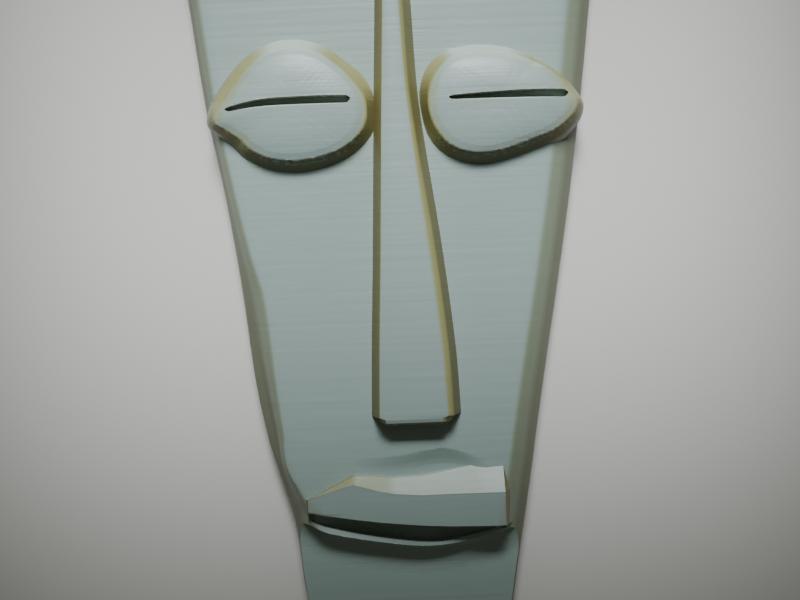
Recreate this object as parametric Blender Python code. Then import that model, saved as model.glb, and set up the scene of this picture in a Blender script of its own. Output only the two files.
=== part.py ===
"""A tiki mask printed in one piece, lying on its flat back with its face up.

The face looks along +Z, the forehead is towards +Y and the chin towards -Y. The
origin is on the back, in the middle. Lengths are in metres. Places on the face are
written in modules, 44ths of its width across and 84ths of its length along, so the
carving keeps its proportions when the mask grows. Depths have sizes of their own.
"""

import math

import bmesh
import bpy
from mathutils import Vector

MM = 0.001

FACE_LENGTH = 84 * MM  # chin to the top of the head
FACE_WIDTH = 44 * MM  # across the temples
FACE_THICKNESS = 5.4 * MM  # back to the middle of the face
FACE_CROWN = 0.7 * MM  # how far the face falls towards its sides
EDGE_FALL = 2.0 * MM  # how far the rounded side falls below that
TEMPLE_RADIUS = 3.0 * MM
CHIN_RADIUS = 1.2 * MM
ARCH_RISE = 2.5 * MM  # the top of the head over its corners
RIGHT_BAND = 2.5 * MM  # width of the rounded side on +X
SHOULDER_RUN = 0.42  # a corner of that side, in shares of its width
SHOULDER_RISE = 0.6  # and of its fall
FLANGE_RISE = 0.25  # height of the flange on -X, as a share of the same fall

NOSE_TIP_RELIEF = 2.6 * MM
NOSE_ROOT_RELIEF = 1.7 * MM
NOSE_DRAFT = 0.8 * MM  # run of the sloped walls of the nose
NOSE_ROUND = 0.55 * MM  # fall of the soft edge along its +X side

EYE_WALL = 1.9 * MM
EYE_DOME = 0.65 * MM  # rise of the lid over the top of its wall
SLIT_DEPTH = 1.5 * MM
SLIT_BEVEL = 0.35 * MM  # run of the sloped lower side of a slit

UPPER_LIP_RELIEF = 1.5 * MM
UPPER_LIP_RISE = 0.08 * MM  # from the ridge of the lip to its front edge
UPPER_LIP_SLOPE = 0.72  # how steeply its top falls back to its foot
LOWER_LIP_RELIEF = 0.12 * MM  # the crest of the lower lip over the face
CHIN_DROP = 2.3 * MM  # how far the chin lies below the face
CHIN_WALL = 0.6 * MM  # run of the wall between them
CHIN_FILLET = 2.8 * MM  # run of the hollow curve from its foot to the chin
CHIN_CURVE = 0.9 * MM  # how far that curve falls
MOUTH_DEPTH = 1.8 * MM
PHILTRUM_DEPTH = 1.0 * MM

SINK = 0.3 * MM  # how far a raised form starts below the face
ROOT = 1.2 * MM  # height over the back that raised forms reach down to
CLEAR = 14 * MM  # height over the back that cutters reach up to

ROW_COUNT = 34
CROWN_COLUMNS = 9
CORNER_STEPS = 4
NOSE_ROWS = 22
EYE_SEGMENTS = 76
LID_POWER = 3  # how flat the middle of a lid is
LID_RINGS = (0.15, 0.4)  # shares of the way in to the middle of a lid
CHIN_STEPS = 4
FULL_TURN = 360

ACROSS = FACE_WIDTH / 44
ALONG = FACE_LENGTH / 84

# Along, half width on -X, half width on +X, width of the -X band, width of its flange.
OUTLINE = [
    (-42, 9.2, 9.0, 1.0, 0.30),
    (-32, 11.0, 10.6, 1.0, 0.30),
    (-26.5, 11.6, 11.6, 1.8, 0.40),
    (-24.4, 12.0, 12.0, 2.2, 0.40),
    (-22.4, 12.55, 12.35, 1.7, 0.50),
    (-19.3, 13.5, 12.9, 1.2, 0.60),
    (-16.3, 14.3, 13.4, 1.7, 0.90),
    (-10.7, 15.3, 14.4, 2.1, 0.95),
    (-2.4, 16.2, 15.95, 2.2, 0.50),
    (2.1, 16.75, 16.75, 1.5, 0.35),
    (8.5, 17.7, 17.85, 1.0, 0.30),
    (17.4, 19.3, 19.2, 1.0, 0.30),
    (27.7, 20.6, 20.55, 1.0, 0.30),
    (39, 22.0, 22.0, 1.0, 0.30),
]

# Along, -X edge of the flat top, +X edge of the flat top, width of the soft edge.
NOSE = [
    (-14.0, -2.62, 3.85, 0.85),
    (-8.0, -2.40, 3.50, 0.95),
    (1.8, -1.92, 2.56, 0.95),
    (16.8, -1.26, 1.14, 0.57),
    (26.6, -0.80, 0.63, 0.65),
    (39.0, -0.30, 0.25, 0.50),
]
NOSE_END = -14.9
NOSE_CORNER = 0.7  # how far the corners of the tip are cut back

# Across, place of the foot of the top slope, of the ridge and of the front edge.
UPPER_LIP = [
    (-10.1, -22.55, -22.60, -23.90),
    (-8.5, -21.75, -22.00, -24.15),
    (-5.5, -20.30, -21.05, -24.60),
    (-3.2, -20.45, -21.72, -24.93),
    (-1.6, -20.68, -22.08, -25.13),
    (1.2, -20.60, -22.32, -25.42),
    (4.2, -20.20, -22.30, -25.62),
    (7.6, -19.60, -22.33, -25.72),
    (9.5, -19.50, -22.35, -25.77),
]
LIP_SIDE = 0.95  # run of the sloped side of the upper lip on +X
LIP_LOW_END = 0.55  # height of its -X end, as a share of its relief
LIP_LOW_RUN = 4.6  # length of the low end of the upper lip on -X, until it is at its full height

# Across, crest of the lower lip, width of its upper slope, share of its full height.
LOWER_LIP = [
    (-10.6, -24.80, 0.25, -3.0),
    (-9.7, -25.35, 0.35, -1.0),
    (-8.6, -25.92, 0.50, 0.8),
    (-6.4, -26.47, 0.50, 1.0),
    (-3.4, -27.04, 0.42, 0.5),
    (-0.3, -27.52, 0.36, 0.0),
    (1.9, -27.69, 0.32, -0.6),
    (3.7, -27.61, 0.32, -1.6),
    (5.5, -27.38, 0.45, -3.0),
    (7.4, -26.95, 0.40, -3.6),
    (9.4, -26.25, 0.30, -3.6),
]
LIP_PAST = 0.5  # how far its form goes on past the crest
MOUTH_LAP = 0.8  # how far the mouth reaches up under the upper lip
MOUTH_OVER = 0.1  # how far it reaches past the ends of that lip
MOUTH_PAST = 0.2  # how far it passes the crest where the lip lies low, in half widths of the lip
MOUTH_ROUND = 0.6  # how soon the mouth deepens from its ends, as a power
MOUTH_END = 0.02  # share of a half turn where that curve starts and stops

# Past the mouth, across and along from the end stations of the lower lip.
CHIN_LEFT = [(-5.4, 0.9), (-0.9, 0.45)]
CHIN_RIGHT = [(1.2, 0.35), (6.6, 0.9)]

PHILTRUM_FOOT = -22.45  # lower edge of the hollow under the nose
# Across, upper edge of that hollow, share of its full depth.
PHILTRUM = [
    (-5.5, -18.7, 0.00),
    (-1.0, -18.5, 0.60),
    (4.0, -17.9, 1.00),
    (7.8, -19.4, 0.00),
]

# The outlines give a turn in degrees, the reach of the lid from its middle and the run of its wall.
EYES = {
    "left_eye": {
        "middle": (-10.0, 16.7),
        "outline": [
            (-19, 7.33, 0.95), (-4, 7.25, 0.85), (5, 7.00, 1.02), (18, 6.42, 1.28), (42, 5.72, 1.15),
            (78, 5.46, 1.30), (100, 5.50, 1.34), (121, 5.60, 1.34), (140, 5.75, 1.38), (157, 6.05, 1.46),
            (173, 6.78, 1.42), (189, 8.05, 0.80), (199, 7.00, 1.00), (211, 6.22, 1.10), (221, 6.10, 1.10),
            (236, 5.86, 1.00), (259, 5.55, 1.00), (278, 5.55, 1.00), (297, 5.80, 1.00), (314, 6.37, 1.00),
        ],
        "slit": [(-16.7, 16.45, 0.32), (-13.4, 16.95, 0.50), (-8.0, 17.05, 0.58), (-4.3, 17.0, 0.60)],
    },
    "right_eye": {
        "middle": (10.6, 16.5),
        "outline": [
            (-5, 7.60, 0.80), (6, 6.80, 0.95), (19, 6.05, 0.85), (33, 5.35, 0.80), (48, 4.72, 0.90),
            (75, 4.43, 1.00), (101, 4.62, 1.20), (122, 5.30, 1.35), (135, 6.10, 1.30), (150, 6.80, 1.20),
            (168, 7.14, 1.00), (187, 7.22, 0.75), (205, 7.03, 0.95), (219, 6.75, 1.00), (243, 5.85, 1.00),
            (260, 5.22, 1.00), (279, 4.80, 1.00), (298, 4.83, 1.05), (314, 5.25, 1.10), (334, 6.40, 1.15),
        ],
        "slit": [(5.4, 16.75, 0.22), (9.0, 16.85, 0.40), (13.5, 16.9, 0.58), (17.2, 16.85, 0.66)],
    },
}

SAGE = (0.33, 0.40, 0.37, 1.0)


def clear_scene():
    for obj in list(bpy.data.objects):
        bpy.data.objects.remove(obj, do_unlink=True)


def new_collection(name):
    collection = bpy.data.collections.new(name)
    bpy.context.scene.collection.children.link(collection)
    return collection


def printed_plastic():
    material = bpy.data.materials.new("sage_printed_plastic")
    material.use_nodes = True
    shader = material.node_tree.nodes["Principled BSDF"]
    shader.inputs["Base Color"].default_value = SAGE
    shader.inputs["Roughness"].default_value = 0.45
    shader.inputs["Metallic"].default_value = 0.0
    material.diffuse_color = SAGE
    return material


def smooth_at(stations, place):
    """The sizes at a place, on smooth curves through the stations' sizes."""
    last = len(stations) - 1
    place = min(max(place, stations[0][0]), stations[last][0])
    span = next(i for i in range(last) if place <= stations[i + 1][0])
    before = stations[max(span - 1, 0)]
    start = stations[span]
    end = stations[span + 1]
    after = stations[min(span + 2, last)]
    length = end[0] - start[0]
    t = (place - start[0]) / length
    found = []
    for column in range(1, len(start)):
        out = length * (end[column] - before[column]) / (end[0] - before[0])
        into = length * (after[column] - start[column]) / (after[0] - start[0])
        found.append(
            start[column] * (1 + 2 * t) * (1 - t) ** 2
            + out * t * (1 - t) ** 2
            + end[column] * t * t * (3 - 2 * t)
            + into * t * t * (t - 1)
        )
    return found


def straight_at(stations, place):
    """The sizes at a place, on straight lines between the stations' sizes."""
    last = len(stations) - 1
    place = min(max(place, stations[0][0]), stations[last][0])
    span = next(i for i in range(last) if place <= stations[i + 1][0])
    start = stations[span]
    end = stations[span + 1]
    t = (place - start[0]) / (end[0] - start[0])
    return [a + (b - a) * t for a, b in zip(start[1:], end[1:])]


def cross_section(y):
    """Points (x, z) of the face from side to side, before the ends are rounded."""
    left, right, band, flange = (size * ACROSS for size in smooth_at(OUTLINE, y / ALONG))
    edge = FACE_THICKNESS - FACE_CROWN - EDGE_FALL
    points = [(-left, edge), (flange - left, edge + FLANGE_RISE * EDGE_FALL)]
    start = band - left
    end = right - RIGHT_BAND
    for step in range(CROWN_COLUMNS + 1):
        x = start + (end - start) * step / CROWN_COLUMNS
        points.append((x, crown_height(x)))
    points.append((right - SHOULDER_RUN * RIGHT_BAND, edge + SHOULDER_RISE * EDGE_FALL))
    points.append((right, edge))
    return points


def face_height(x, y):
    """Height of the face over the back, away from its rounded ends."""
    points = cross_section(y)
    for (x0, z0), (x1, z1) in zip(points, points[1:]):
        if x <= x1:
            t = max((x - x0) / (x1 - x0), 0.0)
            return z0 + (z1 - z0) * t
    return points[-1][1]


def crown_height(x):
    """Height of the face over the back, as if it had no rounded sides."""
    return FACE_THICKNESS - FACE_CROWN * (2 * x / FACE_WIDTH) ** 2


def quarter_round(distance, radius):
    """How far a round of this radius has fallen, this far from the end it closes."""
    inside = 1 - min(max(distance / radius, 0.0), 1.0)
    return radius * (1 - math.sqrt(1 - inside * inside))


def face_rows():
    """Places along the face, close together at its rounded ends."""
    bottom = -FACE_LENGTH / 2
    top = FACE_LENGTH / 2
    turns = [0.5 * math.pi * step / CORNER_STEPS for step in range(CORNER_STEPS)]
    chin = [bottom + CHIN_RADIUS * (1 - math.cos(turn)) for turn in turns]
    head = [top - TEMPLE_RADIUS * (1 - math.cos(turn)) for turn in reversed(turns)]
    start = bottom + CHIN_RADIUS
    step = (top - TEMPLE_RADIUS - start) / ROW_COUNT
    middle = [start + step * row for row in range(ROW_COUNT + 1)]
    return chin + middle + head


def grid_solid(name, columns, rows, place, base, collection):
    """A grid shaped by place(column, row), closed by walls that go straight to base."""
    bm = bmesh.new()
    bmesh.ops.create_grid(bm, x_segments=columns - 1, y_segments=rows - 1, size=0.5)
    for vert in bm.verts:
        column = round((vert.co.x + 0.5) * (columns - 1))
        row = round((vert.co.y + 0.5) * (rows - 1))
        vert.co = place(column, row)
    rim = [edge for edge in bm.edges if edge.is_boundary]
    walls = bmesh.ops.extrude_edge_only(bm, edges=rim)["geom"]
    for vert in walls:
        if isinstance(vert, bmesh.types.BMVert):
            vert.co.z = base
    closing = [edge for edge in walls if isinstance(edge, bmesh.types.BMEdge) and edge.is_boundary]
    bmesh.ops.contextual_create(bm, geom=closing)
    bmesh.ops.recalc_face_normals(bm, faces=bm.faces)
    return object_of(name, bm, collection)


def object_of(name, bm, collection):
    bmesh.ops.triangulate(bm, faces=bm.faces)
    mesh = bpy.data.meshes.new(name)
    bm.to_mesh(mesh)
    bm.free()
    mesh.shade_smooth()
    mesh.set_sharp_from_angle(angle=math.radians(25))
    obj = bpy.data.objects.new(name, mesh)
    collection.objects.link(obj)
    return obj


def face_plate(collection):
    """The long face: flat behind, crowned in front, rounded at the sides and ends."""
    rows = face_rows()
    half_length = FACE_LENGTH / 2
    arch_start = half_length - 4 * TEMPLE_RADIUS

    def place(column, row):
        y = rows[row]
        x, z = cross_section(y)[column]
        corner = quarter_round(half_length - y, TEMPLE_RADIUS)
        corner += quarter_round(half_length + y, CHIN_RADIUS)
        half = abs(cross_section(y)[0 if x < 0 else -1][0])
        x *= (half - corner) / half
        edge = FACE_THICKNESS - FACE_CROWN - EDGE_FALL
        end_fall = quarter_round(half_length - y, TEMPLE_RADIUS) / TEMPLE_RADIUS * EDGE_FALL
        end_fall += quarter_round(half_length + y, CHIN_RADIUS)
        z = max(z - end_fall, edge)
        bend = max(y - arch_start, 0.0) / (half_length - arch_start)
        y -= ARCH_RISE * bend * (2 * x / FACE_WIDTH) ** 2
        return Vector((x, y, z))

    columns = len(cross_section(0.0))
    return grid_solid("mask", columns, len(rows), place, 0.0, collection)


def nose(collection):
    """The long straight nose, which narrows up the forehead and ends in a cut tip."""
    top = NOSE[-1][0]
    bottom = NOSE[0][0]
    step = (top - bottom) / (NOSE_ROWS - 1)
    draft_below = NOSE_DRAFT / ALONG
    places = [NOSE_END - draft_below, NOSE_END]
    places += [bottom + step * row for row in range(NOSE_ROWS)]
    places.append(top + draft_below)

    def place(column, row):
        along = places[row]
        left, right, soft = (size * ACROSS for size in smooth_at(NOSE, along))
        if along <= NOSE_END:
            left += NOSE_CORNER * ACROSS
            right -= NOSE_CORNER * ACROSS
        spread = NOSE_DRAFT * (1 + SINK / NOSE_TIP_RELIEF)
        x = [left - spread, left, right, right + soft, right + soft + spread][column]
        y = along * ALONG
        share = (along - NOSE_END) / (top - NOSE_END)
        relief = NOSE_TIP_RELIEF + (NOSE_ROOT_RELIEF - NOSE_TIP_RELIEF) * share
        drop = [relief + SINK, 0, 0, NOSE_ROUND, relief + SINK][column]
        if row in (0, len(places) - 1):
            drop = relief + SINK
        return Vector((x, y, face_height(0.0, y) + relief - drop))

    return grid_solid("nose", 5, len(places), place, ROOT, collection)


def lid_at(eye, turn):
    """The reach of a lid from its middle and the run of its wall, this far round."""
    stations = eye["outline"]
    first = stations[0]
    second = stations[1]
    last = stations[-1]
    closed = [(last[0] - FULL_TURN, *last[1:])] + stations
    closed += [(first[0] + FULL_TURN, *first[1:]), (second[0] + FULL_TURN, *second[1:])]
    degrees = math.degrees(turn) % FULL_TURN
    if degrees > first[0] + FULL_TURN:
        degrees -= FULL_TURN
    return smooth_at(closed, degrees)


def eye_lid(name, eye, collection):
    """A closed lid: a sloped wall under a low dome, sunk into the face."""
    foot = 1 + SINK / EYE_WALL
    # Share of the way in from the rim, share of the wall's run outside it, rise.
    rings = [(0, foot, None), (0, foot, -SINK), (0, 0, EYE_WALL)]
    for share in LID_RINGS:
        rings.append((share, 0, EYE_WALL + EYE_DOME * (1 - (1 - share) ** LID_POWER)))

    def lid_point(turn, ring):
        inner, outer, rise = ring
        reach, run = lid_at(eye, turn)
        distance = reach * ACROSS * (1 - inner) + run * MM * outer
        x = eye["middle"][0] * ACROSS + distance * math.cos(turn)
        y = eye["middle"][1] * ALONG + distance * math.sin(turn)
        return Vector((x, y, ROOT if rise is None else crown_height(x) + rise))

    bm = bmesh.new()
    made = bmesh.ops.create_circle(bm, cap_ends=True, segments=EYE_SEGMENTS, radius=1.0)
    turns = {vert: math.atan2(vert.co.y, vert.co.x) for vert in made["verts"]}
    face = bm.faces[:][0]
    for level, ring in enumerate(rings):
        if level > 0:
            before = {tuple(vert.co.xy): turns[vert] for vert in face.verts}
            face = bmesh.ops.extrude_discrete_faces(bm, faces=[face])["faces"][0]
            turns = {vert: before[tuple(vert.co.xy)] for vert in face.verts}
        for vert in face.verts:
            vert.co = lid_point(turns[vert], ring)
    middle = bmesh.ops.poke(bm, faces=[face])["verts"][0]
    middle.co = lid_point(0.0, (1, 0, EYE_WALL + EYE_DOME))
    base = [edge for edge in bm.edges if edge.is_boundary]
    bmesh.ops.contextual_create(bm, geom=base)
    bmesh.ops.recalc_face_normals(bm, faces=bm.faces)
    return object_of(name, bm, collection)


def eye_slit(name, eye, collection):
    """The cutter of a closed eye's slit: upright above, sloped below."""
    stations = eye["slit"]
    columns = 9
    start = stations[0][0]
    end = stations[-1][0]

    def place(column, row):
        across = start + (end - start) * column / (columns - 1)
        middle, width = smooth_at(stations, across)
        x = across * ACROSS
        y = middle * ALONG
        half = 0.5 * width * ALONG
        top = crown_height(x) + EYE_WALL + EYE_DOME
        y += [half, -half, -half - SLIT_BEVEL][row]
        z = top - (SLIT_DEPTH if row < 2 else 0.0)
        return Vector((x, y, z))

    return grid_solid(name, columns, 3, place, CLEAR, collection)


def philtrum_cut(collection):
    """The cutter of the hollow between the nose and the lip, sloping towards the lip."""

    columns = 13
    start = PHILTRUM[0][0]
    end = PHILTRUM[-1][0]

    def place(column, row):
        across = start + (end - start) * column / (columns - 1)
        upper, share = smooth_at(PHILTRUM, across)
        x = across * ACROSS
        y = [upper, 0.6 * upper + 0.4 * PHILTRUM_FOOT, PHILTRUM_FOOT][row] * ALONG
        fall = [-0.05, 0.75, 1.0][row] * PHILTRUM_DEPTH * (share + 0.02)
        return Vector((x, y, face_height(x, y) - fall))

    return grid_solid("philtrum_cut", columns, 3, place, CLEAR, collection)


def mouth_cut(collection):
    """The cutter of the mouth, a trough that the two lips stand in."""
    columns = 25
    start = UPPER_LIP[0][0] - MOUTH_OVER
    end = UPPER_LIP[-1][0] + MOUTH_OVER

    def place(column, row):
        run = column / (columns - 1)
        across = start + (end - start) * run
        x = across * ACROSS
        crest, width, share = smooth_at(LOWER_LIP, across)
        upper = straight_at(UPPER_LIP, across)[2] + MOUTH_LAP
        lower = crest + 0.5 * width * min(max(share, -MOUTH_PAST), 1)
        y = (upper if row == 0 else lower) * ALONG
        turn = math.pi * (MOUTH_END + (1 - 2 * MOUTH_END) * run)
        depth = MOUTH_DEPTH * math.sin(turn) ** MOUTH_ROUND
        return Vector((x, y, face_height(x, y) - depth))

    return grid_solid("mouth_cut", columns, 2, place, CLEAR, collection)


def upper_lip(collection):
    """The faceted upper lip, a wedge whose front edge overhangs the mouth."""
    first = UPPER_LIP[0]
    last = UPPER_LIP[-1]
    ends = [(first[0] - 0.4, *first[1:]), (last[0] + LIP_SIDE, *last[1:])]
    stations = [ends[0]] + UPPER_LIP + [ends[1]]
    columns = len(stations)

    def place(column, row):
        across = stations[column][0]
        x = across * ACROSS
        y = stations[column][1 + row] * ALONG
        hollow = smooth_at(PHILTRUM, across)[1] * PHILTRUM_DEPTH
        climb = (across - first[0]) / LIP_LOW_RUN
        share = min(1.0, LIP_LOW_END + (1 - LIP_LOW_END) * climb)
        slope = (stations[column][1] - stations[column][2]) * ALONG * UPPER_LIP_SLOPE
        foot = max(share * (UPPER_LIP_RELIEF - slope), -hollow - SINK)
        rise = [foot, share * UPPER_LIP_RELIEF, share * (UPPER_LIP_RELIEF + UPPER_LIP_RISE)][row]
        if column in (0, columns - 1):
            rise = -SINK
        return Vector((x, y, face_height(x, y) + rise))

    return grid_solid("upper_lip", columns, 3, place, ROOT, collection)


def lower_lip(collection):
    """The lower lip: a narrow slope up to its crest and past it, where the chin is cut."""
    columns = 41
    start = LOWER_LIP[0][0]
    end = LOWER_LIP[-1][0]

    def place(column, row):
        across = start + (end - start) * column / (columns - 1)
        crest, width, share = smooth_at(LOWER_LIP, across)
        relief = LOWER_LIP_RELIEF * share
        x = across * ACROSS
        y = (crest + [width, 0, -LIP_PAST][row]) * ALONG
        inner = min(relief, 0) - 0.02 * MM
        rise = [inner, relief, relief + max(relief, 0) * LIP_PAST / width][row]
        return Vector((x, y, face_height(x, y) + rise))

    return grid_solid("lower_lip", columns, 3, place, ROOT, collection)


def chin_cut(collection):
    """The cutter that lays the chin lower, from the crest of the lower lip down."""
    columns = 41
    first = LOWER_LIP[0]
    last = LOWER_LIP[-1]
    crest_line = [(first[0] + out, first[1] + up, 0) for out, up in CHIN_LEFT]
    crest_line += [(station[0], station[1], station[3]) for station in LOWER_LIP]
    crest_line += [(last[0] + out, last[1] + up, 0) for out, up in CHIN_RIGHT]
    start = crest_line[0][0]
    end = crest_line[-1][0]
    foot = CHIN_CURVE - CHIN_DROP

    def place(column, row):
        across = start + (end - start) * column / (columns - 1)
        crest, share = smooth_at(crest_line, across)
        top = LOWER_LIP_RELIEF * share
        y = crest * ALONG
        if row == 0:
            y += CHIN_WALL
            rise = 2 * top - foot
        elif row < CHIN_STEPS + 2:
            t = (row - 1) / CHIN_STEPS
            y -= CHIN_WALL + CHIN_FILLET * t
            rise = foot - CHIN_CURVE * (1 - (1 - t) ** 2)
        else:
            y = -0.5 * FACE_LENGTH - CHIN_FILLET
            rise = -CHIN_DROP
        x = across * ACROSS
        return Vector((x, y, crown_height(x) + rise))

    return grid_solid("chin_cut", columns, CHIN_STEPS + 3, place, CLEAR, collection)


def combine(body, tool, operation):
    tool.hide_render = True
    tool.display_type = "WIRE"
    modifier = body.modifiers.new(tool.name, "BOOLEAN")
    modifier.operation = operation
    modifier.solver = "EXACT"
    modifier.object = tool


def main():
    clear_scene()
    parts = new_collection("tiki_mask")
    forms = new_collection("forms_and_cutters")
    mask = face_plate(parts)
    mask.data.materials.append(printed_plastic())
    combine(mask, philtrum_cut(forms), "DIFFERENCE")
    combine(mask, mouth_cut(forms), "DIFFERENCE")
    combine(mask, lower_lip(forms), "UNION")
    combine(mask, chin_cut(forms), "DIFFERENCE")
    combine(mask, nose(forms), "UNION")
    combine(mask, upper_lip(forms), "UNION")
    for name, eye in EYES.items():
        combine(mask, eye_lid(name, eye, forms), "UNION")
        combine(mask, eye_slit(name + "_slit", eye, forms), "DIFFERENCE")


main()
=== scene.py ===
import math
import random

import bpy
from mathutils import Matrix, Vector, noise


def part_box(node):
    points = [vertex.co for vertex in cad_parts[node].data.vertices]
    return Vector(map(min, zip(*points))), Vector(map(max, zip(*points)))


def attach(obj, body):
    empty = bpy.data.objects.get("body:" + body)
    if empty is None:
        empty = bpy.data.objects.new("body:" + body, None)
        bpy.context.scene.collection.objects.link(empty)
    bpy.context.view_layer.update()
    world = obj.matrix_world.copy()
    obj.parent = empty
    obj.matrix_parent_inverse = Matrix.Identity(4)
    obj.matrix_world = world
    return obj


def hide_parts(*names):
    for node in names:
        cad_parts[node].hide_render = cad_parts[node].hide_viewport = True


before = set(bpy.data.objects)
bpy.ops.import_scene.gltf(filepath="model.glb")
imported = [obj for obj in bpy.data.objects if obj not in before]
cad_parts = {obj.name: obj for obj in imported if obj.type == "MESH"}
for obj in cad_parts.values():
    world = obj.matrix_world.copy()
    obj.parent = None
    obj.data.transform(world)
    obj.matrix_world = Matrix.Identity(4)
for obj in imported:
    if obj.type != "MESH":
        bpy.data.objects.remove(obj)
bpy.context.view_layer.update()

maskLow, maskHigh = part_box("mask")
mm = 0.001
widthSteps, lengthSteps = 44, 84
across = (maskHigh.x - maskLow.x) / widthSteps      # the step of all places across, near 1 mm
along = (maskHigh.y - maskLow.y) / lengthSteps      # the step of all places along, near 1 mm
halfWidth = 0.5 * widthSteps * across
halfLength = 0.5 * lengthSteps * along
sunk = 0.3                                   # mm that a raised form starts below the face
formRoot = 1.2 * mm                          # height that raised forms reach down to
formTop = 14 * mm                            # height that cutters reach up to


# What every piece uses

def deselectAll():
    if bpy.context.object and bpy.context.object.mode != "OBJECT":
        bpy.ops.object.mode_set(mode="OBJECT")
    bpy.ops.object.select_all(action="DESELECT")


def smoothAt(stations, place):
    # the sizes at a place, on smooth curves through the stations
    last = len(stations) - 1
    place = min(max(place, stations[0][0]), stations[last][0])
    span = next(i for i in range(last) if place <= stations[i + 1][0])
    before, start = stations[max(span - 1, 0)], stations[span]
    end, after = stations[span + 1], stations[min(span + 2, last)]
    length = end[0] - start[0]
    t = (place - start[0]) / length
    found = []
    for column in range(1, len(start)):
        leaving = length * (end[column] - before[column]) / (end[0] - before[0])
        coming = length * (after[column] - start[column]) / (after[0] - start[0])
        found.append(start[column] * (1 + 2 * t) * (1 - t) ** 2 + leaving * t * (1 - t) ** 2
                     + end[column] * t * t * (3 - 2 * t) + coming * t * t * (t - 1))
    return found


def straightAt(stations, place):
    # the sizes at a place, on straight lines between the stations
    last = len(stations) - 1
    place = min(max(place, stations[0][0]), stations[last][0])
    span = next(i for i in range(last) if place <= stations[i + 1][0])
    start, end = stations[span], stations[span + 1]
    t = (place - start[0]) / (end[0] - start[0])
    return [a + (b - a) * t for a, b in zip(start[1:], end[1:])]


def roundedPath(corners, steps):
    # corners are (x, z, softness), and a soft corner becomes a short curve of steps + 1 points
    points = []
    for i, (x, z, soft) in enumerate(corners):
        if soft == 0:
            points.append((x, z))
            continue
        here = Vector((x, z))
        back = Vector(corners[i - 1][:2]) - here
        ahead = Vector(corners[i + 1][:2]) - here
        start = here + back.normalized() * min(soft, 0.45 * back.length)
        end = here + ahead.normalized() * min(soft, 0.45 * ahead.length)
        for step in range(steps + 1):
            t = step / steps
            points.append(tuple(start * (1 - t) ** 2 + here * 2 * t * (1 - t) + end * t * t))
    return points


def roundFall(distance, radius):
    # how far a round of this radius has fallen, this far from the end it closes
    inside = 1 - min(max(distance / radius, 0), 1)
    return radius * (1 - math.sqrt(1 - inside * inside))


def closeForm(form, closingHeight):
    # walls from the open rim straight to one height, and a flat face there
    bpy.ops.object.mode_set(mode="EDIT")
    bpy.context.tool_settings.mesh_select_mode = (False, True, False)
    bpy.ops.mesh.select_all(action="DESELECT")
    bpy.ops.mesh.select_non_manifold()
    bpy.ops.mesh.extrude_region_move()
    bpy.ops.transform.resize(value=(1, 1, 0), center_override=(0, 0, closingHeight))
    bpy.ops.mesh.select_all(action="SELECT")
    bpy.ops.mesh.quads_convert_to_tris()
    bpy.ops.mesh.select_all(action="DESELECT")
    bpy.ops.mesh.select_non_manifold()
    bpy.ops.mesh.edge_face_add()
    bpy.ops.mesh.select_all(action="SELECT")
    bpy.ops.mesh.normals_make_consistent(inside=False)
    bpy.ops.object.mode_set(mode="OBJECT")
    return form


def gridForm(name, columns, rows, place, closingHeight):
    # a grid laid over the face, each crossing put in its place, then closed
    deselectAll()
    bpy.ops.mesh.primitive_grid_add(x_subdivisions=columns - 1, y_subdivisions=rows - 1, size=1)
    form = bpy.context.object
    form.name = name
    for vert in form.data.vertices:
        column = round((vert.co.x + 0.5) * (columns - 1))
        row = round((vert.co.y + 0.5) * (rows - 1))
        vert.co = place(column, row)
    return closeForm(form, closingHeight)


def ringForm(name, segments, levels, place):
    # a round stack of rings, each vertex then put in its place by its level and turn
    deselectAll()
    bpy.ops.mesh.primitive_circle_add(vertices=segments, radius=1, fill_type="NGON")
    form = bpy.context.object
    form.name = name
    bpy.ops.object.mode_set(mode="EDIT")
    bpy.context.tool_settings.mesh_select_mode = (False, False, True)
    bpy.ops.mesh.select_all(action="SELECT")
    for level in range(1, levels):
        bpy.ops.mesh.extrude_region_move(TRANSFORM_OT_translate={"value": (0, 0, 1)})
    bpy.ops.object.mode_set(mode="OBJECT")
    for vert in form.data.vertices:
        turn = math.atan2(vert.co.y, vert.co.x)
        vert.co = place(round(vert.co.z), turn)
    bpy.ops.object.mode_set(mode="EDIT")
    bpy.ops.mesh.select_all(action="SELECT")
    bpy.ops.mesh.quads_convert_to_tris()
    bpy.ops.mesh.normals_make_consistent(inside=False)
    bpy.ops.object.mode_set(mode="OBJECT")
    return form


def combine(body, tool, operation):
    modifier = body.modifiers.new(tool.name, "BOOLEAN")
    modifier.operation = operation
    modifier.solver = "EXACT"
    modifier.object = tool
    deselectAll()
    body.select_set(True)
    bpy.context.view_layer.objects.active = body
    bpy.ops.object.modifier_apply(modifier=modifier.name)
    bpy.data.objects.remove(tool, do_unlink=True)


# The long face

layers = {
    "pitch": 0.32,          # one printed layer, in mm along the mask
    "groove": 0.008,        # how deep the lines between layers lie
    "wander": 0.006,        # how far single layers stand out or in
    "lane": 3.7,            # distance between the noise of one half layer and the next
    "streakAcross": 0.35,   # how quickly that noise changes across the mask, in turns a mm
    "streakUp": 0.3,
    "seed": 7,
    "sharpFrom": 28,        # degrees over which an edge is shaded sharp
}
halfLayer = 0.5 * layers["pitch"] * mm

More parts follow.
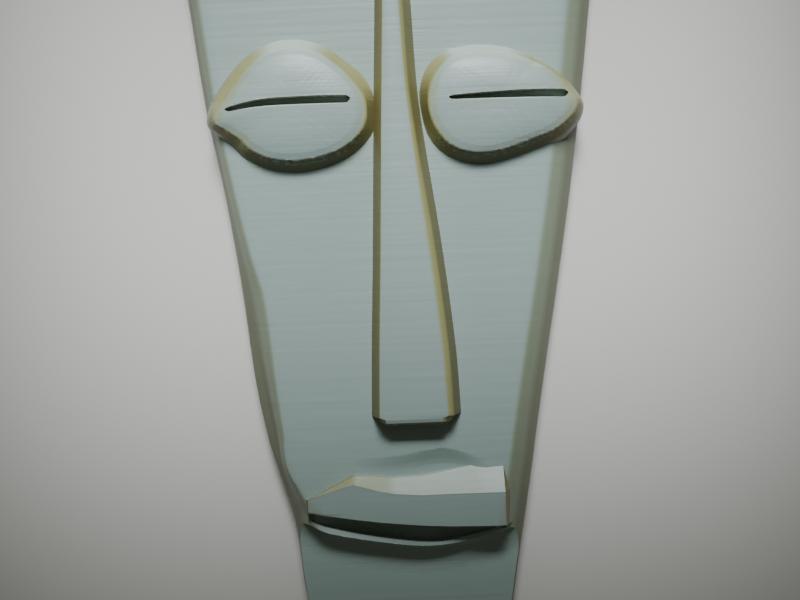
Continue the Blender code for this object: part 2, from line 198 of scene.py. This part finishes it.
face = {
    "thickness": 5.4,       # back to the middle of the face, in mm
    "crown": 0.7,           # how far the face falls towards its sides
    "edgeFall": 2.0,        # how far the rounded side falls below that
    "templeRadius": 3.0,
    "chinRadius": 1.2,
    "archRise": 2.5,
    "archReach": 12,        # how far down from its middle the top of the head starts to bend
    "rightBand": 2.5,
    "rightFold": 0.42,      # place of the fold along that band, from the outside
    "foldHeight": 0.6,      # and its height, as a share of the fall
    "flangeHeight": 0.25,   # height of the flange on -X, as a share of the fall
    "wallDepth": 0.9,       # how far down the upright edge reaches before the walls start
    "edgeSoft": 0.3,        # softness of the outermost edge
    "bandSoft": 0.7,        # softness where the face turns into its sides
    "columns": 26,
    "cornerSteps": 3,
    # along, half width on -X, half width on +X, width of the -X band, width of its flange
    "outline": [
        (-42, 9.2, 9.0, 1.0, 0.30),
        (-32, 11.0, 10.6, 1.0, 0.30),
        (-26.5, 11.6, 11.6, 1.8, 0.40),
        (-24.4, 12.0, 12.0, 2.2, 0.40),
        (-22.4, 12.55, 12.35, 1.7, 0.50),
        (-19.3, 13.5, 12.9, 1.2, 0.60),
        (-16.3, 14.3, 13.4, 1.7, 0.90),
        (-10.7, 15.3, 14.4, 2.1, 0.95),
        (-2.4, 16.2, 15.95, 2.2, 0.50),
        (2.1, 16.75, 16.75, 1.5, 0.35),
        (8.5, 17.7, 17.85, 1.0, 0.30),
        (17.4, 19.3, 19.2, 1.0, 0.30),
        (27.7, 20.6, 20.55, 1.0, 0.30),
        (39, 22.0, 22.0, 1.0, 0.30),
    ],
}


def crossSection(y):
    # points (x, z) of the face from side to side
    left, right, band, flange = (size * across for size in smoothAt(face["outline"], y / along))
    top = face["thickness"] * mm
    crown = face["crown"] * mm
    fall = face["edgeFall"] * mm
    edge = top - crown - fall
    wide = face["rightBand"] * mm
    start, end = band - left, right - wide
    inner = []
    for step in range(face["columns"] + 1):
        x = start + (end - start) * step / face["columns"]
        inner.append((x, top - crown * (x / halfWidth) ** 2, 0))
    soft = face["bandSoft"] * mm
    inner[0] = (*inner[0][:2], soft)
    inner[-1] = (*inner[-1][:2], soft)
    lip = face["edgeSoft"] * mm
    low = edge - face["wallDepth"] * mm
    fold = right - face["rightFold"] * wide
    corners = [(-left, low, 0), (-left, edge, lip)]
    corners.append((flange - left, edge + face["flangeHeight"] * fall, lip))
    corners += inner
    corners += [(fold, edge + face["foldHeight"] * fall, lip), (right, edge, lip), (right, low, 0)]
    return roundedPath(corners, face["cornerSteps"])


def faceHeight(x, y):
    points = crossSection(y)
    for (x0, z0), (x1, z1) in zip(points, points[1:]):
        if x <= x1 and x1 > x0:
            return z0 + (z1 - z0) * max((x - x0) / (x1 - x0), 0)
    return points[-2][1]


def crownHeight(x):
    # the face without its rounded sides
    return (face["thickness"] - face["crown"] * (x / halfWidth) ** 2) * mm


def modelFace():
    count = int(2 * halfLength / halfLayer)
    rows = [-halfLength + halfLayer * row for row in range(count + 1)] + [halfLength]
    archStart = halfLength - face["archReach"] * mm
    sections = [crossSection(y) for y in rows]
    floorLine = (face["thickness"] - face["crown"] - face["edgeFall"] - face["wallDepth"]) * mm

    def place(column, row):
        y = rows[row]
        x, z = sections[row][column]
        temple = roundFall(halfLength - y, face["templeRadius"] * mm)
        chin = roundFall(halfLength + y, face["chinRadius"] * mm)
        side = abs(sections[row][0 if x < 0 else -1][0])
        x *= (side - temple - chin) / side
        fall = temple / face["templeRadius"] * face["edgeFall"] + chin
        z = max(z - fall, floorLine)
        bend = max(y - archStart, 0) / (halfLength - archStart)
        y -= face["archRise"] * mm * bend * (x / halfWidth) ** 2
        return Vector((x, y, z))

    return gridForm("printed_mask", len(sections[0]), len(rows), place, 0)


# The nose

nose = {
    "tipRelief": 2.6,
    "rootRelief": 1.7,
    "draft": 0.8,           # run of its sloped walls
    "roundFall": 0.55,      # fall of the soft edge along its +X side
    "edge": 0.14,           # softness of its crisp edges
    "end": -14.9,
    "corner": 0.7,          # how far the corners of the tip are cut back
    "tipSoft": 0.15,        # half the length of the soft edge over its tip
    "tipDrop": 0.12,        # how far that edge falls
    # along, -X edge of the flat top, +X edge of the flat top, width of the soft edge
    "stations": [
        (-14.0, -2.62, 3.85, 0.85),
        (-8.0, -2.40, 3.50, 0.95),
        (1.8, -1.92, 2.56, 0.95),
        (16.8, -1.26, 1.14, 0.57),
        (26.6, -0.80, 0.63, 0.65),
        (39.0, -0.30, 0.25, 0.50),
    ],
}


def modelNose():
    top = nose["stations"][-1][0]
    draft = nose["draft"] * mm
    edge = nose["edge"] * mm
    ahead = draft / along
    tipSoft = nose["tipSoft"]
    # past the tip, each row lies on a joint or the middle of a printed layer
    chinEnd = 0.5 * lengthSteps
    first = math.ceil((nose["end"] + 2 * tipSoft + chinEnd) * along / halfLayer)
    last = math.floor((top + chinEnd) * along / halfLayer)
    places = [nose["end"] - ahead, nose["end"] - tipSoft, nose["end"] + tipSoft]
    places += [index * halfLayer / along - chinEnd for index in range(first, last + 1)]
    places.append(top + ahead)

    def place(column, row):
        spot = places[row]
        left, right, soft = (size * across for size in smoothAt(nose["stations"], spot))
        if row < 3:
            left += nose["corner"] * across * (1 if row < 2 else 0.8)
            right -= nose["corner"] * across * (1 if row < 2 else 0.8)
        share = (spot - nose["end"]) / (top - nose["end"])
        relief = (nose["tipRelief"] + (nose["rootRelief"] - nose["tipRelief"]) * share) * mm
        spread = draft * (1 + sunk * mm / relief)
        fallen = nose["roundFall"] * mm
        foot = relief + sunk * mm
        columns = [
            (left - spread, foot),
            (left - 0.35 * edge, edge), (left + 0.2 * edge, 0.3 * edge), (left + edge, 0),
            (right, 0), (right + 0.35 * soft, 0.10 * fallen), (right + 0.7 * soft, 0.42 * fallen),
            (right + soft, fallen), (right + soft + 0.5 * edge, fallen + edge),
            (right + soft + spread, foot),
        ]
        x, drop = columns[column]
        if row in (0, len(places) - 1):
            drop = foot
        elif row == 1:
            drop = max(drop, nose["tipDrop"] * mm)
        return Vector((x, spot * along, faceHeight(0, spot * along) + relief - drop))

    columnCount = 10
    return gridForm("nose", columnCount, len(places), place, formRoot)


# The closed eyes

eyes = {
    "wall": 1.9,            # height of the wall round each lid
    "dome": 0.65,           # rise of the lid over the top of its wall
    "flat": 3,              # how flat its middle is, as a power
    "rim": 0.26,            # softness of the rim
    "segments": 120,
    "rings": 12,            # rings of faces over the lid
    "rimShare": 0.032,      # share of the way in where the soft rim ends
    "lidShare": 0.982,      # and where the last ring lies
    "slitDepth": 1.5,
    "slitBevel": 0.35,      # run of the sloped lower side of a slit
    "slitLip": 0.3,         # how deep the flatter upper part of that side reaches
    "slitEnd": 0.5,         # length of its rounded ends
    # outline: turn in degrees, reach of the lid from the middle, run of its wall
    "left": {
        "middle": (-10.0, 16.7),
        "outline": [
            (-19, 7.33, 0.95), (-4, 7.25, 0.85), (5, 7.00, 1.02), (18, 6.42, 1.28), (42, 5.72, 1.15),
            (78, 5.46, 1.30), (100, 5.50, 1.34), (121, 5.60, 1.34), (140, 5.75, 1.38), (157, 6.05, 1.46),
            (173, 6.78, 1.42), (189, 8.05, 0.80), (199, 7.00, 1.00), (211, 6.22, 1.10), (221, 6.10, 1.10),
            (236, 5.86, 1.00), (259, 5.55, 1.00), (278, 5.55, 1.00), (297, 5.80, 1.00), (314, 6.37, 1.00),
        ],
        "slit": [(-16.7, 16.45, 0.32), (-13.4, 16.95, 0.50), (-8.0, 17.05, 0.58), (-4.3, 17.0, 0.60)],
    },
    "right": {
        "middle": (10.6, 16.5),
        "outline": [
            (-5, 7.60, 0.80), (6, 6.80, 0.95), (19, 6.05, 0.85), (33, 5.35, 0.80), (48, 4.72, 0.90),
            (75, 4.43, 1.00), (101, 4.62, 1.20), (122, 5.30, 1.35), (135, 6.10, 1.30), (150, 6.80, 1.20),
            (168, 7.14, 1.00), (187, 7.22, 0.75), (205, 7.03, 0.95), (219, 6.75, 1.00), (243, 5.85, 1.00),
            (260, 5.22, 1.00), (279, 4.80, 1.00), (298, 4.83, 1.05), (314, 5.25, 1.10), (334, 6.40, 1.15),
        ],
        "slit": [(5.4, 16.75, 0.22), (9.0, 16.85, 0.40), (13.5, 16.9, 0.58), (17.2, 16.85, 0.66)],
    },
}


def lidAt(eye, turn):
    # reach of the lid and run of its wall, this far round
    outline = eye["outline"]
    before = (outline[-1][0] - 360, *outline[-1][1:])
    after = [(station[0] + 360, *station[1:]) for station in outline[:2]]
    degrees = math.degrees(turn) % 360
    if degrees > outline[0][0] + 360:
        degrees -= 360
    return smoothAt([before, *outline, *after], degrees)


def modelEye(name, eye):
    wall, dome, rim, low = eyes["wall"] * mm, eyes["dome"] * mm, eyes["rim"] * mm, sunk * mm
    # share of the way in from the rim, share of the way out to the foot, height
    start, reached = eyes["rimShare"], eyes["lidShare"]
    rings = [(0, 1 + low / wall, None), (0, 1 + low / wall, -low), (0, rim / wall, wall - rim),
             (0, 0.4 * rim / wall, wall - 0.55 * rim), (0.010, 0, wall - 0.2 * rim), (start, 0, wall)]
    for step in range(1, eyes["rings"] + 1):
        share = start + (reached - start) * step / eyes["rings"]
        rings.append((share, 0, wall + dome * (1 - (1 - share) ** eyes["flat"])))

    def place(level, turn):
        inner, outer, rise = rings[level]
        reach, run = lidAt(eye, turn)
        distance = reach * across * (1 - inner) + run * mm * outer
        x = eye["middle"][0] * across + distance * math.cos(turn)
        y = eye["middle"][1] * along + distance * math.sin(turn)
        return Vector((x, y, formRoot if rise is None else crownHeight(x) + rise))

    return ringForm(name, eyes["segments"], len(rings), place)


def modelSlit(name, eye):
    stations = eye["slit"]
    columns = 41
    start, end = stations[0][0], stations[-1][0]
    depth = eyes["slitDepth"] * mm

    def place(column, row):
        spot = start + (end - start) * column / (columns - 1)
        middle, width = smoothAt(stations, spot)
        near = min(spot - start, end - spot) / eyes["slitEnd"]
        width *= math.sqrt(max(1 - (1 - min(near, 1)) ** 2, 0.05))
        x, y, half = spot * across, middle * along, 0.5 * width * along
        top = crownHeight(x) + (eyes["wall"] + eyes["dome"]) * mm
        bevel = eyes["slitBevel"] * mm * min(near + 0.3, 1)
        y += [half, -half, -half - 0.45 * bevel, -half - bevel][row]
        return Vector((x, y, top - [depth, depth, eyes["slitLip"] * mm, 0][row]))

    return gridForm(name, columns, 4, place, formTop)


# The mouth and the lips

mouth = {
    "upperRelief": 1.5,
    "upperRise": 0.08,      # from the ridge of the upper lip to its front edge
    "upperSlope": 0.72,     # how steeply its top falls back to its foot
    "side": 0.95,           # run of the sloped side of the upper lip on +X
    "leftSide": 0.4,        # and on -X
    "lowerRelief": 0.12,    # the crest of the lower lip over the face
    "lowerPast": 0.5,       # how far the form of the lower lip goes on past its crest
    "lowerSunk": 0.02,      # how far the upper end of its slope starts below the face
    "chinDrop": 2.3,        # how far the chin lies below the face
    "chinWall": 0.6,        # run of the wall between them
    "chinFillet": 2.8,      # run of the hollow curve from its foot to the chin
    "chinCurve": 0.9,       # how far that curve falls
    "depth": 1.8,
    "mouthLap": 0.8,        # how far the mouth reaches up under the upper lip
    "mouthOver": 0.1,       # how far it reaches past the ends of that lip
    "mouthPast": 0.2,       # how far it passes the crest of the lower lip, in half widths of the lip
    "mouthRound": 0.6,      # how soon it deepens from its ends, as a power
    "lowEnd": 0.55,         # height of the -X end of the upper lip, as a share of its relief
    "lowRun": 4.6,          # how far from that end it has its full height
    "edge": 0.12,           # softness of its edges
    "philtrumDepth": 1.0,
    "philtrumFoot": -22.45,
    "chinReach": 16,        # how far to each side the chin is cut
    "chinSides": 0.9,       # the line of that cut there, over the ends of the lower lip
    "chinLeft": (-0.9, 0.45),   # a point of that line past the -X end of the lower lip, from that end
    "chinRight": (1.2, 0.35),   # and past its +X end
    # across, place of the foot of the top slope, of the ridge and of the front edge
    "upper": [
        (-10.1, -22.55, -22.60, -23.90),
        (-8.5, -21.75, -22.00, -24.15),
        (-5.5, -20.30, -21.05, -24.60),
        (-3.2, -20.45, -21.72, -24.93),
        (-1.6, -20.68, -22.08, -25.13),
        (1.2, -20.60, -22.32, -25.42),
        (4.2, -20.20, -22.30, -25.62),
        (7.6, -19.60, -22.33, -25.72),
        (9.5, -19.50, -22.35, -25.77),
    ],
    # across, crest of the lower lip, width of its upper slope, share of its height
    "lower": [
        (-10.6, -24.80, 0.25, -3.0),
        (-9.7, -25.35, 0.35, -1.0),
        (-8.6, -25.92, 0.50, 0.8),
        (-6.4, -26.47, 0.50, 1.0),
        (-3.4, -27.04, 0.42, 0.5),
        (-0.3, -27.52, 0.36, 0.0),
        (1.9, -27.69, 0.32, -0.6),
        (3.7, -27.61, 0.32, -1.6),
        (5.5, -27.38, 0.45, -3.0),
        (7.4, -26.95, 0.40, -3.6),
        (9.4, -26.25, 0.30, -3.6),
    ],
    # across, upper edge of the hollow under the nose, share of its full depth
    "philtrum": [
        (-5.5, -18.7, 0.00),
        (-1.0, -18.5, 0.60),
        (4.0, -17.9, 1.00),
        (7.8, -19.4, 0.00),
    ],
}


def modelPhiltrum():
    columns, rows = 25, 9
    start, end = mouth["philtrum"][0][0], mouth["philtrum"][-1][0]
    foot = mouth["philtrumFoot"]
    slope = [(0, -0.05), (0.4, 0.75), (1, 1.0)]

    def place(column, row):
        spot = start + (end - start) * column / (columns - 1)
        upper, share = smoothAt(mouth["philtrum"], spot)
        run = row / (rows - 1)
        x, y = spot * across, (upper + (foot - upper) * run) * along
        fall = smoothAt(slope, run)[0] * mouth["philtrumDepth"] * mm * (share + 0.02)
        return Vector((x, y, faceHeight(x, y) - fall))

    return gridForm("philtrum", columns, rows, place, formTop)


def modelMouth():
    columns = 33
    start = mouth["upper"][0][0] - mouth["mouthOver"]
    end = mouth["upper"][-1][0] + mouth["mouthOver"]

    def place(column, row):
        run = column / (columns - 1)
        spot = start + (end - start) * run
        x = spot * across
        crest, width, share = smoothAt(mouth["lower"], spot)
        upper = straightAt(mouth["upper"], spot)[2]
        lower = crest + 0.5 * width * min(max(share, -mouth["mouthPast"]), 1)
        y = (upper + mouth["mouthLap"] if row == 0 else lower) * along
        bowl = math.sin(math.pi * (0.02 + 0.96 * run)) ** mouth["mouthRound"]
        depth = mouth["depth"] * mm * bowl
        return Vector((x, y, faceHeight(x, y) - depth))

    return gridForm("mouth", columns, 2, place, formTop)


def modelUpperLip():
    first, last = mouth["upper"][0], mouth["upper"][-1]
    # crisp corners on -X, and one broad facet from there to +X
    spots = [station[0] for station in mouth["upper"][:5]]
    steps = 12
    spots += [spots[-1] + (last[0] - spots[-1]) * step / steps for step in range(1, steps + 1)]
    stations = [(spot, *straightAt(mouth["upper"], spot)) for spot in spots]
    stations.insert(0, (first[0] - mouth["leftSide"], *first[1:]))
    stations.append((last[0] + mouth["side"], *last[1:]))
    columns = len(stations)
    soft, lowEnd, slope = mouth["edge"], mouth["lowEnd"], mouth["upperSlope"]

    def place(column, row):
        spot = stations[column][0]
        foot, ridge, front = stations[column][1:]
        x = spot * across
        hollow = smoothAt(mouth["philtrum"], spot)[1] * mouth["philtrumDepth"]
        full, rising = mouth["upperRelief"], mouth["upperRise"]
        share = min(1, lowEnd + (1 - lowEnd) * (spot - first[0]) / mouth["lowRun"])
        steep = min(soft, 0.3 * (foot - ridge))
        low = max(full - slope * (foot - ridge) * along / mm, (-hollow - sunk) / share)
        corners = [
            (foot, low), (ridge + steep, full - soft * slope), (ridge, full),
            (ridge - soft, full - 0.01), (front + soft, full + rising), (front, full + rising - soft),
        ]
        y, rise = corners[row]
        rise *= share
        if column in (0, columns - 1):
            rise = -sunk
        return Vector((x, y * along, faceHeight(x, y * along) + rise * mm))

    cornerCount = 6
    return gridForm("upper_lip", columns, cornerCount, place, formRoot)


def modelLowerLip():
    # a narrow slope up to the crest, carried on past it, where the chin is cut away
    columns = 61
    start, end = mouth["lower"][0][0], mouth["lower"][-1][0]
    past = mouth["lowerPast"]

    def place(column, row):
        spot = start + (end - start) * column / (columns - 1)
        crest, width, share = smoothAt(mouth["lower"], spot)
        relief = mouth["lowerRelief"] * share
        slope = max(relief, 0) / width
        x, y = spot * across, (crest + [width, 0, -past][row]) * along
        inner = -mouth["lowerSunk"] + min(relief, 0)
        rise = [inner, relief, relief + past * slope][row]
        return Vector((x, y, faceHeight(x, y) + rise * mm))

    return gridForm("lower_lip", columns, 3, place, formRoot)


def modelChin():
    # cuts the chin lower, from the crest of the lower lip down
    columns = 61
    left, right, reach = mouth["lower"][0], mouth["lower"][-1], mouth["chinReach"]
    line = [(-reach, left[1] + mouth["chinSides"], 0)]
    line.append((left[0] + mouth["chinLeft"][0], left[1] + mouth["chinLeft"][1], 0))
    line += [(station[0], station[1], station[3]) for station in mouth["lower"]]
    line.append((right[0] + mouth["chinRight"][0], right[1] + mouth["chinRight"][1], 0))
    line.append((reach, right[1] + mouth["chinSides"], 0))
    drop, wall, fillet, curve = (mouth["chin" + size] for size in ("Drop", "Wall", "Fillet", "Curve"))
    steps = 7
    pastEnd = -2 - 0.5 * lengthSteps

    def place(column, row):
        spot = reach * (2 * column / (columns - 1) - 1)
        crest, share = smoothAt(line, spot)
        top = mouth["lowerRelief"] * share
        foot = -drop + curve
        if row == 0:
            y, rise = crest + wall, top + (top - foot)
        elif row == 1:
            y, rise = crest - wall, foot
        elif row < 2 + steps:
            t = (row - 1) / steps
            y, rise = crest - wall - fillet * t, foot - curve * (1 - (1 - t) ** 2)
        else:
            y, rise = pastEnd, -drop
        x = spot * across
        return Vector((x, y * along, crownHeight(x) + rise * mm))

    return gridForm("chin", columns, 3 + steps, place, formTop)


def cutLayers(mask):
    # every printed layer gets an edge loop at its joint and one along its middle
    deselectAll()
    mask.select_set(True)
    bpy.context.view_layer.objects.active = mask
    bpy.ops.object.mode_set(mode="EDIT")
    for index in range(1, int(2 * halfLength / halfLayer) + 1):
        height = index * halfLayer - halfLength
        bpy.ops.mesh.select_all(action="SELECT")
        bpy.ops.mesh.bisect(plane_co=(0, height, 0), plane_no=(0, 1, 0), threshold=1e-6)
    bpy.ops.object.mode_set(mode="OBJECT")


def pressLayers(mask):
    # the joints between layers lie a little deeper, and each layer wanders a little
    chance = random.Random(layers["seed"])
    most = 600                  # layers that are drawn for
    strength = [chance.uniform(-1, 1) for index in range(2 * most)]

    def pressAt(index, spot):
        x, z = spot.x / mm * layers["streakAcross"], spot.z / mm * layers["streakUp"]
        streak = noise.noise(Vector((x, index * layers["lane"], z)))
        amount = layers["wander"] * (0.5 * strength[index // 2] + streak)
        if index % 2 == 0:
            amount -= layers["groove"] * (1 + 0.8 * strength[most + index // 2])
        return amount * mm

    normals = [vert.normal.copy() for vert in mask.data.vertices]
    for vert, normal in zip(mask.data.vertices, normals):
        place = (vert.co.y + halfLength) / halfLayer
        index = math.floor(place)
        share = place - index
        amount = pressAt(index, vert.co) * (1 - share) + pressAt(index + 1, vert.co) * share
        vert.co += normal * amount * (1 - abs(normal.y) ** 4)
        vert.co.z = max(vert.co.z, 0)


def modelMask():
    mask = modelFace()
    print("face plate", len(mask.data.polygons))
    combine(mask, modelPhiltrum(), "DIFFERENCE")
    combine(mask, modelMouth(), "DIFFERENCE")
    combine(mask, modelLowerLip(), "UNION")
    combine(mask, modelChin(), "DIFFERENCE")
    combine(mask, modelNose(), "UNION")
    combine(mask, modelUpperLip(), "UNION")
    for side in ("left", "right"):
        combine(mask, modelEye(side + "_eye", eyes[side]), "UNION")
        combine(mask, modelSlit(side + "_slit", eyes[side]), "DIFFERENCE")
    print("forms joined", len(mask.data.polygons))
    cutLayers(mask)
    print("layers cut", len(mask.data.polygons))
    deselectAll()
    mask.select_set(True)
    bpy.ops.object.shade_smooth_by_angle(angle=math.radians(layers["sharpFrom"]))
    pressLayers(mask)
    return mask


# The finish

plastic = {
    "sage": (0.32, 0.42, 0.40, 1),      # faces turned to the viewer
    "gold": (0.34, 0.335, 0.145, 1),    # raised walls and rims turned sideways
    "olive": (0.265, 0.31, 0.23, 1),    # the long sides of the mask, turned sideways
    "edge": (0.185, 0.20, 0.14, 1),     # painted shade on the lower, steeper part of those sides
    "paintedSheen": (0.62, 0.70, 0.62, 1),     # painted sheen: a whiter colour for slopes turned towards the window light at the top of the head
    "pale": (0.62, 0.66, 0.58, 1),      # roughened plastic under the overhangs
    "wall": (0.155, 0.135, 0.050, 1),   # gold darkened with painted shade, for the steepest walls
    "turning": (0.16, 0.50),            # sideways lean where the sage starts to turn, and has turned
    "steep": (0.72, 0.98),              # the same for the steepest walls, where the painted shade comes
    "paintedSheenLean": (0.30, 0.60),           # lean to the top of the head where the painted sheen comes
    "paintedSheenShare": 0.6,
    "under": (0.35, 0.85),              # lean to the chin where raised walls, turned away from the light, get the painted shade of the steep walls
    "underShare": 0.8,
    "raised": (0.0050, 0.0056),         # heights in m between the sides of the mask and its raised forms
    "paintedEdgeShadeHeight": (0.0035, 0.0044),     # heights between the painted shade of the lower part of those sides and the olive of the upper part
    "goldLip": (0.0196, 0.0200),        # place along of the top of the lip, in m below the middle
    "goldLipParts": [(0.45, 0.0010, 0.0024), (0.45, 0.0050, 0.0056)],    # share and places out to -X
    "tone": 0.08,                       # how far single lines of plastic are lighter or darker
    "mottle": 0.07,
    "lineStretch": (90, 3100, 90),      # features in a metre, each way
    "patchStretch": (160, 110, 160),
    "fineDetail": 3,
    "stitchStretch": (1900, 3100, 1900),
    "grainStretch": (3600, 5200, 3600),
    "overhang": (0.3, 0.7),             # lean to the chin where the plastic is roughened
    "stitchHeight": (0.0060, 0.0066),
    "stitchCut": (0.50, 0.62),
    "stitchShare": 0.3,
    "roughness": 0.40,
    "roughnessSpread": 0.12,
    "roughened": 0.2,                   # more roughness under the overhangs
    "grain": 0.16,                      # heights of the fine bump, of its lines and of the stitches
    "lineRise": 0.35,
    "stitchRise": 2.2,
    "bumpDistance": 0.00002,
    "bumpStrength": 0.6,
}


class Wire:
    # wraps a socket, so that a sum or product written with it adds its Math node
    def __init__(self, tree, socket=None):
        self.tree = tree
        self.socket = socket

    def add(self, kind, settings, inputs, output=0):
        node = self.tree.nodes.new(kind)
        for name, value in settings.items():
            setattr(node, name, value)
        for name, value in inputs.items():
            if isinstance(value, Wire):
                self.tree.links.new(value.socket, node.inputs[name])
            else:
                node.inputs[name].default_value = value
        return Wire(self.tree, node.outputs[output])

    def math(self, operation, *values):
        return self.add("ShaderNodeMath", {"operation": operation}, dict(enumerate(values)))

    def ease(self, low, high):
        # 0 below low, 1 above high, smooth between them
        return self.add("ShaderNodeMapRange", {"interpolation_type": "SMOOTHSTEP"},
                        {"Value": self, "From Min": low, "From Max": high})

    def axis(self, name):
        return self.add("ShaderNodeSeparateXYZ", {}, {0: self}, name)

    def noise(self, stretch, detail=2):
        # noise of features one unit wide, in this vector stretched along its axes
        stretched = self.add("ShaderNodeMapping", {}, {"Vector": self, "Scale": stretch})
        return self.add("ShaderNodeTexNoise", {}, {"Vector": stretched, "Scale": 1, "Detail": detail})

    def blend(self, first, second):
        # this wire is the share of the second colour
        return self.add("ShaderNodeMix", {"data_type": "RGBA"}, {0: self, 6: first, 7: second}, 2)

    def __add__(self, other):
        return self.math("ADD", self, other)

    def __radd__(self, other):
        return self.math("ADD", other, self)

    def __sub__(self, other):
        return self.math("SUBTRACT", self, other)

    def __rsub__(self, other):
        return self.math("SUBTRACT", other, self)

    def __mul__(self, other):
        return self.math("MULTIPLY", self, other)

    def __rmul__(self, other):
        return self.math("MULTIPLY", other, self)


def sagePlastic():
    material = bpy.data.materials.new("sage_silk_plastic")
    material.use_nodes = True
    tree = material.node_tree
    shader = tree.nodes["Principled BSDF"]
    start = Wire(tree)
    place = start.add("ShaderNodeTexCoord", {}, {}, "Object")
    turned = start.add("ShaderNodeTexCoord", {}, {}, "Normal")
    outward, upward = turned.axis("X"), turned.axis("Y")
    lean = outward.math("ABSOLUTE", outward).ease(*plastic["turning"])
    raised = place.axis("Z").ease(*plastic["raised"])
    # the steepest raised walls keep their gold tone but are painted darker, as painted shade
    steep = outward.math("ABSOLUTE", outward).ease(*plastic["steep"])
    # the long sides are olive, with painted shade over their lower part
    band = place.axis("Z").ease(*plastic["paintedEdgeShadeHeight"]).blend(plastic["edge"], plastic["olive"])
    side = raised.blend(band, steep.blend(plastic["gold"], plastic["wall"]))
    colour = lean.blend(plastic["sage"], side)
    # painted sheen: slopes turned to the top of the head, towards the window light, are painted whiter, and
    # on -X the lip's own slope is golden
    paintedSheenMask = upward.ease(*plastic["paintedSheenLean"])
    colour = (plastic["paintedSheenShare"] * paintedSheenMask * (1 - lean)).blend(colour, plastic["paintedSheen"])
    toLeft = 0 - place.axis("X")
    corner = sum(share * toLeft.ease(near, far) for share, near, far in plastic["goldLipParts"])
    corner = corner * (0 - place.axis("Y")).ease(*plastic["goldLip"])
    colour = (corner * raised * paintedSheenMask).blend(colour, plastic["gold"])
    # painted shade: raised walls turned to the chin, away from the window light, get the dark wall colour
    down = 0 - upward
    under = plastic["underShare"] * down.ease(*plastic["under"]) * raised
    colour = under.blend(colour, plastic["wall"])
    # fine lines of plastic along the layers, and broad soft patches
    line = place.noise(plastic["lineStretch"])
    patch = place.noise(plastic["patchStretch"], plastic["fineDetail"])
    middle = 1 - 0.5 * plastic["tone"] - 0.5 * plastic["mottle"]
    tone = middle + plastic["tone"] * line + plastic["mottle"] * patch
    shade = start.add("ShaderNodeCombineXYZ", {}, {0: tone, 1: tone, 2: tone})
    colour = start.add("ShaderNodeVectorMath", {"operation": "MULTIPLY"}, {0: colour, 1: shade})
    # rough pale stitches where a wall overhangs the layer below it
    overhang = down.ease(*plastic["overhang"]) * raised
    stitch = place.noise(plastic["stitchStretch"]).ease(*plastic["stitchCut"])
    stitch = overhang * stitch * place.axis("Z").ease(*plastic["stitchHeight"])
    colour = (plastic["stitchShare"] * stitch).blend(colour, plastic["pale"])
    grain = place.noise(plastic["grainStretch"], plastic["fineDetail"])
    height = grain * plastic["grain"] + line * plastic["lineRise"] + stitch * plastic["stitchRise"]
    bumpInputs = {"Height": height, "Distance": plastic["bumpDistance"], "Strength": plastic["bumpStrength"]}
    bump = start.add("ShaderNodeBump", {}, bumpInputs)
    rough = plastic["roughness"] - 0.5 * plastic["roughnessSpread"] + plastic["roughnessSpread"] * line
    rough = rough + plastic["roughened"] * overhang
    tree.links.new(colour.socket, shader.inputs["Base Color"])
    tree.links.new(rough.socket, shader.inputs["Roughness"])
    tree.links.new(bump.socket, shader.inputs["Normal"])
    return material


# Camera, light and floor

view = {
    "over": (-0.175, -2.993),   # the point of the face under the camera, in mm
    "height": 115.4,
    "turn": -2.243,             # degrees
    "lens": 49.5,
    "film": 36,
    "near": 0.005,
    "far": 10,
}


def setCamera():
    camera = bpy.data.cameras.new("camera")
    camera.lens = view["lens"]
    camera.sensor_width = view["film"]
    camera.clip_start, camera.clip_end = view["near"], view["far"]
    holder = bpy.data.objects.new("camera", camera)
    bpy.context.scene.collection.objects.link(holder)
    holder.location = (view["over"][0] * mm, view["over"][1] * mm, view["height"] * mm)
    holder.rotation_euler = (0, 0, math.radians(view["turn"]))
    bpy.context.scene.camera = holder


studio = {
    "fill": (1.0, 0.95, 0.75, 1),
    "fillStrength": 0.07,
    "window": (0, 0.080, 0.087),    # place of the window light, past the top of the head
    "aim": (0, 0.0135, 0.005),
    "windowSize": (0.09, 0.05),
    "windowSpread": 28,             # degrees, so that it fades towards the chin
    "windowPower": 0.0208,          # W
    "windowColour": (0.96, 1.0, 1.0),
    "floorSize": 4,
    "floor": (0.72, 0.71, 0.69, 1),
    "floorRoughness": 0.8,
}


def setLights():
    world = bpy.data.worlds.new("studio")
    world.use_nodes = True
    background = world.node_tree.nodes["Background"]
    background.inputs["Color"].default_value = studio["fill"]
    background.inputs["Strength"].default_value = studio["fillStrength"]
    bpy.context.scene.world = world
    light = bpy.data.lights.new("window", "AREA")
    light.shape = "RECTANGLE"
    light.size, light.size_y = studio["windowSize"]
    light.energy = studio["windowPower"]
    light.spread = math.radians(studio["windowSpread"])
    light.color = studio["windowColour"]
    holder = bpy.data.objects.new("window", light)
    bpy.context.scene.collection.objects.link(holder)
    holder.location = studio["window"]
    holder.rotation_euler = (holder.location - Vector(studio["aim"])).to_track_quat("Z", "Y").to_euler()
    holder.visible_camera = False


def setFloor():
    deselectAll()
    bpy.ops.mesh.primitive_plane_add(size=studio["floorSize"])
    floor = bpy.context.object
    floor.name = "floor"
    material = bpy.data.materials.new("pale_floor")
    material.use_nodes = True
    shader = material.node_tree.nodes["Principled BSDF"]
    shader.inputs["Base Color"].default_value = studio["floor"]
    shader.inputs["Roughness"].default_value = studio["floorRoughness"]
    floor.data.materials.append(material)


mask = modelMask()
mask.data.materials.clear()
mask.data.materials.append(sagePlastic())
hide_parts("mask")
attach(mask, "root")
setCamera()
setLights()
setFloor()
